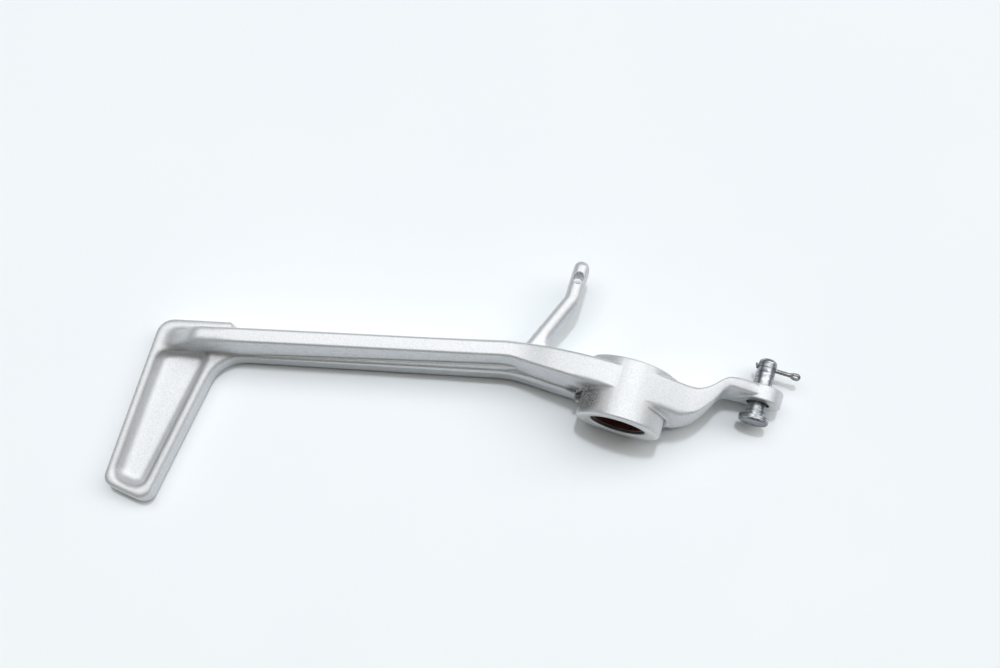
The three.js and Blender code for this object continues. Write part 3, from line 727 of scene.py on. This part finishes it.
@dataclass(frozen=True)
class HubSpot:
    """A point beside the hub, counted from the middle of the hub's outboard end.

    Args:
        toward_lug: how far toward the lug it lies, in hub radii.
        inboard: how far inboard it lies.
        above: how far above the axis it lies, in hub radii.
    """

    toward_lug: float
    inboard: float
    above: float

    def point(self, end: Vector, radius: float) -> Vector:
        """The point beside the hub of that outboard end and radius."""
        return end + Vector((self.toward_lug * radius, self.inboard, self.above * radius))


@dataclass
class Lever:
    """The forging with its lined bush.

    Args:
        hub_radius: the hub's outer radius.
        hub_outboard: how far its outboard end lies from the arm's middle plane.
        bush_recess: how deep the bush sits below the hub's ends.
        bush_seat_radius: the radius of the bore that the bush sits in.
        lug_radius: the radius of the push rod's lug.
        lug_thickness: its thickness along the pin.
        lug_offset: how far inboard of the arm's middle plane its middle lies.
        pad_length: the foot pad's length.
        arm_middle: how far from the pad's end the arm's middle lies.
        skin: how far a patch on a flat face reaches past it.
        turned_fade_mm: the soft edge of the turned faces.
        recess_margin_mm: how far the stain and painted shade reach into the wall of the bush's
            seat.
        recess_fade_mm: the soft edge of that stain and painted shade.
        pad_share: how far the pad's soft edges reach from its middle, in pad lengths.
        pad_fade_mm: how gradually they end.
        wall_shade_end_mm: how far from both ends of the arm the painted shade on its wall stops.
        wall_shade_fade_mm: how gradually it stops.
        arm_side: the hub's side toward the arm.
        arm_corner: the corner between that side and the arm.
        neck_root: where the neck leaves the hub.
        soft_mm: the radius and the fade of the softened regions at the side and the root.
        side_dirt_and_shade_mm: the radius and the fade of the dirt and painted shade on the hub's
            side.
        corner_dirt_and_shade_mm: the same for the dirt and painted shade in the corner.
        pin_hole_shade_mm: the same for the painted shade round the pin's hole.
        forging: the lever's finish.
        shell: the finish of the bush's shell.
        layer: the finish of its sliding layer.
    """

    hub_radius: float = 14.0 * MM
    hub_outboard: float = 13.0 * MM
    bush_recess: float = 1.3 * MM
    bush_seat_radius: float = 8.96 * MM
    lug_radius: float = 7.4 * MM
    lug_thickness: float = 5.2 * MM
    lug_offset: float = 11.8 * MM
    pad_length: float = 62.0 * MM
    arm_middle: float = 76.0 * MM
    skin: float = 0.03 * MM
    turned_fade_mm: float = 0.1
    recess_margin_mm: float = 0.3
    recess_fade_mm: float = 0.2
    pad_share: float = 0.75
    pad_fade_mm: float = 8.0
    wall_shade_end_mm: float = 8.0
    wall_shade_fade_mm: float = 20.0
    arm_side: HubSpot = HubSpot(-0.86, 4.5 * MM, 1 / 2)
    arm_corner: HubSpot = HubSpot(-1.1, 5.0 * MM, 0.0)
    neck_root: HubSpot = HubSpot(0.86, 6.0 * MM, 1 / 3)
    soft_mm: tuple[float, float] = (11.0, 4.0)
    side_dirt_and_shade_mm: tuple[float, float] = (7.5, 4.5)
    corner_dirt_and_shade_mm: tuple[float, float] = (6.0, 3.0)
    pin_hole_shade_mm: tuple[float, float] = (4.3, 0.8)
    forging: BlastedForging = BlastedForging()
    shell: WornSteel = WornSteel("rolled_steel_bush_shell", "#a3a5a6", "#6a6c6b", 0.4)
    layer: SlidingLayer = SlidingLayer()

    def build(self) -> None:
        """Dresses the forging and both layers of the bush."""
        bush_low, bush_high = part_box("bush_shell")
        pin_low, pin_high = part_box("clevis_pin")
        pad_low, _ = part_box("lever_forging")
        axis = (bush_low + bush_high) / 2
        pin_axis = (pin_low + pin_high) / 2
        pivot = pivot_point()
        hub_low, hub_high = bush_low.y - self.bush_recess, bush_high.y + self.bush_recess
        lug_low = pivot.y + self.lug_offset - self.lug_thickness / 2
        lug_high = lug_low + self.lug_thickness
        turned = [
            Patch(middle, radius / MM, self.turned_fade_mm, face - self.skin, face + self.skin)
            for middle, radius, faces in (
                (axis, self.hub_radius, (hub_low, hub_high)),
                (pin_axis, self.lug_radius, (lug_low, lug_high)),
            )
            for face in faces
        ]
        # The bush's seat: a dull stain with painted shade.
        recess_stain_and_shade = Patch(
            axis, self.bush_seat_radius / MM + self.recess_margin_mm, self.recess_fade_mm,
            hub_low - self.skin, bush_low.y + self.skin,
        )
        # Painted shade round the pin's hole in the lug, where the surface is also not metal.
        pin_hole_shade_patch = Patch(pin_axis, *self.pin_hole_shade_mm, lug_low - self.skin, lug_high + self.skin)
        pad_middle = Vector((pad_low.x, pad_low.y + self.pad_length / 2, 0.0))
        pad = Patch(pad_middle, self.pad_length * self.pad_share / MM, self.pad_fade_mm)
        arm = Vector((pad_low.x + self.arm_middle, pivot.y, 0.0))
        # Painted shade at the foot of the arm's outboard wall, over this stretch of the arm.
        film = Patch(arm, self.arm_middle / MM - self.wall_shade_end_mm, self.wall_shade_fade_mm)
        end = Vector((axis.x, hub_low, axis.z))
        side, corner, root = (
            spot.point(end, self.hub_radius)
            for spot in (self.arm_side, self.arm_corner, self.neck_root)
        )
        forging = self.forging.material(
            softened=[pad, Patch(side, *self.soft_mm), Patch(root, *self.soft_mm)],
            turned=turned,
            # Dirt specks with painted shade on the hub's side and in the corner by the arm.
            dirt_and_shade_spots=[Patch(side, *self.side_dirt_and_shade_mm), Patch(corner, *self.corner_dirt_and_shade_mm)],
            stained_and_shaded=[recess_stain_and_shade],
            wall_shade_stretch=[film],
            pin_hole_shade=[pin_hole_shade_patch],
        )
        CarriedPiece("lever_forging").dress(forging)
        CarriedPiece("bush_shell").dress(self.shell.material())
        CarriedPiece("bush_liner").dress(self.layer.material())


@dataclass
class PinJoint:
    """The clevis pin and the split pin through its cross hole.

    Args:
        rings: the pin's dark rings, with their places counted from the head's outer face.
        pin: the clevis pin's finish.
        wire: the split pin's finish.
    """

    rings: tuple[Ring, ...] = (
        Ring(2.2 * MM, 0.5 * MM, 0.7),
        Ring(3.7 * MM, 0.28 * MM, 0.6),
        Ring(6.6 * MM, 1.2 * MM, 0.8),
        Ring(0.0, 0.35 * MM, 0.5),
    )
    pin: WornSteel = WornSteel(
        "turned_steel_clevis_pin_with_worn_plating", "#c3c7cc", "#75797f", 0.34,
        Marks.ROUND_PIN, 0.5, 3.2,
    )
    wire: WornSteel = WornSteel(
        "drawn_steel_split_pin_wire", "#b8b9ba", "#77787a", 0.34, Marks.EVEN, 0.3, 1.8,
    )

    def build(self) -> None:
        """Dresses both pins."""
        head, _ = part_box("clevis_pin")
        rings = tuple(replace(ring, place=head.y + ring.place) for ring in self.rings)
        CarriedPiece("clevis_pin").dress(replace(self.pin, rings=rings).material())
        CarriedPiece("split_pin").dress(self.wire.material())


@dataclass(frozen=True)
class Lamp:
    """One rectangular area lamp that faces a point.

    Args:
        name: what the lamp is for.
        share: its share of the light on the bench, where one renders a colour as it is written.
        width: its face's size from left to right, as the camera sees it.
        depth: its face's size across that.
        right_deg: its lean from straight above to the camera's right.
        away_deg: its lean away from the camera.
        distance: how far it stands from the point that it faces.
        colour: the colour of its light.
        in_reflections: whether shiny surfaces show it.
    """

    name: str
    share: float
    width: float
    depth: float
    right_deg: float = 0.0
    away_deg: float = 13.0
    distance: float = 20.0
    colour: str = "#ffffff"
    in_reflections: bool = True

    def view_share(self) -> float:
        """The share of a bench point's sky that the lamp's face fills, weighted by height.

        Returns:
            The view factor of a rectangle straight above the point.
        """
        x, y = self.width / 2 / self.distance, self.depth / 2 / self.distance
        long_x, long_y = math.hypot(1, x), math.hypot(1, y)
        across = x / long_x * math.atan(y / long_x)
        away = y / long_y * math.atan(x / long_y)
        return 2 / math.pi * (across + away)

    def build(self, target: Vector, azimuth_deg: float) -> None:
        """Makes the lamp.

        Args:
            target: the point that the lamp faces.
            azimuth_deg: the camera's turn about the upright.
        """
        lamp = bpy.data.lights.new(self.name, "AREA")
        lamp.shape = "RECTANGLE"
        lamp.size, lamp.size_y = self.width, self.depth
        lamp.color = linear(self.colour)[:3]
        lamp.energy = self.share * math.pi * self.width * self.depth / self.view_share()
        turn = math.radians(azimuth_deg)
        right = Vector((math.cos(turn), math.sin(turn), 0.0))
        away = Vector((-math.sin(turn), math.cos(turn), 0.0))
        out = Vector((0.0, 0.0, 1.0))
        out += right * math.tan(math.radians(self.right_deg))
        out += away * math.tan(math.radians(self.away_deg))
        out.normalize()
        side = (right - out * right.dot(out)).normalized()
        facing = Matrix((side, out.cross(side), out)).transposed()
        stand = bpy.data.objects.new(self.name, lamp)
        stand.visible_glossy = self.in_reflections
        bpy.context.scene.collection.objects.link(stand)
        stand.matrix_world = Matrix.Translation(target + out * self.distance) @ facing.to_4x4()


@dataclass
class Bench:
    """Pale bench, and the soft light of a small studio.

    Args:
        half_size: half the bench's size.
        colour: the bench's paint.
        mottled_colour: the paint where it is a little darker.
        mottle_width: the width of one cloud of the mottling.
        roughness: how blurred the paint's reflections are.
        gloss: how strong they are.
        sky: the colour of the light from all round.
        sky_share: its share of the light on the bench.
        lamps: the lamps.
    """

    half_size: float = 6.0
    colour: str = "#f3f7fa"
    mottled_colour: str = "#eef3f6"
    mottle_width: float = 1 / 12
    roughness: float = 0.6
    gloss: float = 0.2
    sky: str = "#fbf6e2"
    sky_share: float = 0.1
    lamps: tuple[Lamp, ...] = (
        Lamp("key", 0.29, 1.25, 1.25, colour="#f4f9ff", in_reflections=False),
        Lamp("strip", 0.7, 44.0, 13.0, right_deg=13.0, away_deg=16.0),
    )

    def floor(self) -> None:
        """A flat sheet at the height that the part stands on, with faint mottling."""
        s = self.half_size
        mesh = bpy.data.meshes.new("bench_top")
        mesh.from_pydata([(-s, -s, 0), (s, -s, 0), (s, s, 0), (-s, s, 0)], [], [(0, 1, 2, 3)])
        bench = bpy.data.objects.new("bench_top", mesh)
        bpy.context.scene.collection.objects.link(bench)
        material, tree, surface = new_material("matt_painted_board")
        place = add_node(tree, "ShaderNodeTexCoord").outputs["Object"]
        mottle = add_node(tree, "ShaderNodeTexNoise", {
            "Scale": 1 / self.mottle_width, "Detail": 3.0,
        }, {"Vector": place})
        colour = add_node(tree, "ShaderNodeMix", {
            "data_type": "RGBA", "A": linear(self.mottled_colour), "B": linear(self.colour),
        }, {"Factor": mottle.outputs["Fac"]})
        shader = add_node(tree, "ShaderNodeBsdfPrincipled", {
            "Roughness": self.roughness, "Specular IOR Level": self.gloss,
        }, {"Base Color": colour.outputs["Result"]})
        tree.links.new(shader.outputs["BSDF"], surface)
        mesh.materials.append(material)

    def light(self, target: Vector, azimuth_deg: float) -> None:
        """A small key lamp for the shadows, a long strip for the satin tops, and an even dim sky.

        Past the bench the camera sees plain white.

        Args:
            target: the point that the lamps face.
            azimuth_deg: the camera's turn about the upright.
        """
        world = bpy.data.worlds.new("studio")
        world.use_nodes = True
        tree = world.node_tree
        tree.nodes.clear()
        sky = add_node(tree, "ShaderNodeBackground", {
            "Color": linear(self.sky), "Strength": self.sky_share,
        })
        backdrop = add_node(tree, "ShaderNodeBackground", {"Color": grey(1.0), "Strength": 1.0})
        seen = add_node(tree, "ShaderNodeLightPath").outputs["Is Camera Ray"]
        either = add_node(tree, "ShaderNodeMixShader", links={
            0: seen, 1: sky.outputs[0], 2: backdrop.outputs[0],
        })
        add_node(tree, "ShaderNodeOutputWorld", links={"Surface": either.outputs[0]})
        bpy.context.scene.world = world
        for lamp in self.lamps:
            lamp.build(target, azimuth_deg)

    def build(self, target: Vector, azimuth_deg: float) -> None:
        """Makes the bench and the light.

        Args:
            target: the point that the lamps face.
            azimuth_deg: the camera's turn about the upright.
        """
        self.floor()
        self.light(target, azimuth_deg)
        log.info("bench and light made")


@dataclass
class PhotoCamera:
    """Camera at the photograph's viewing angle.

    Args:
        focal_px: the focal length, in pixels of the photograph.
        frame_px: the photograph's width in pixels.
        elevation_deg: how steeply the camera looks down.
        azimuth_deg: its turn about the upright.
        place_mm: its place, counted from the bench under the pivot, in the arm's middle plane.
        sensor_mm: the sensor's width.
        near: where the view starts.
        far: where it ends.
    """

    focal_px: float = 1300.0
    frame_px: float = 1000.0
    elevation_deg: float = 76.0
    azimuth_deg: float = 17.4
    place_mm: tuple[float, float, float] = (-14.29, -93.48, 427.98)
    sensor_mm: float = 36.0
    near: float = 0.01
    far: float = 50.0

    def build(self, pivot: Vector) -> None:
        """Makes the camera.

        Args:
            pivot: the point under the pivot's axis, on the bench, in the arm's middle plane.
        """
        camera = bpy.data.cameras.new("camera")
        camera.sensor_width = self.sensor_mm
        camera.lens = self.sensor_mm * self.focal_px / self.frame_px
        camera.clip_start, camera.clip_end = self.near, self.far
        stand = bpy.data.objects.new("camera", camera)
        bpy.context.scene.collection.objects.link(stand)
        down, turn = math.radians(self.elevation_deg), math.radians(self.azimuth_deg)
        right = Vector((math.cos(turn), math.sin(turn), 0.0))
        level = Vector((-math.sin(turn), math.cos(turn), 0.0))
        forward = level * math.cos(down) - Vector((0.0, 0.0, math.sin(down)))
        facing = Matrix((right, right.cross(forward), -forward)).transposed()
        place = pivot + Vector(self.place_mm) * MM
        stand.matrix_world = Matrix.Translation(place) @ facing.to_4x4()
        bpy.context.scene.camera = stand
        log.info("camera made")


def pivot_point() -> Vector:
    """The point of the bench under the pivot's axis, in the arm's middle plane."""
    low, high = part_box("bush_shell")
    return Vector(((low.x + high.x) / 2, low.y + Lever.hub_outboard - Lever.bush_recess, 0.0))


def main() -> None:
    """Builds the sub-assemblies in order."""
    logging.basicConfig(level=logging.INFO, format="%(name)s: %(message)s")
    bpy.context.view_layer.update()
    pivot = pivot_point()
    camera = PhotoCamera()
    camera.build(pivot)
    Bench().build(pivot, camera.azimuth_deg)
    Lever().build()
    PinJoint().build()
    bpy.context.scene.view_settings.view_transform = "Standard"


if __name__ == "__main__":
    main()
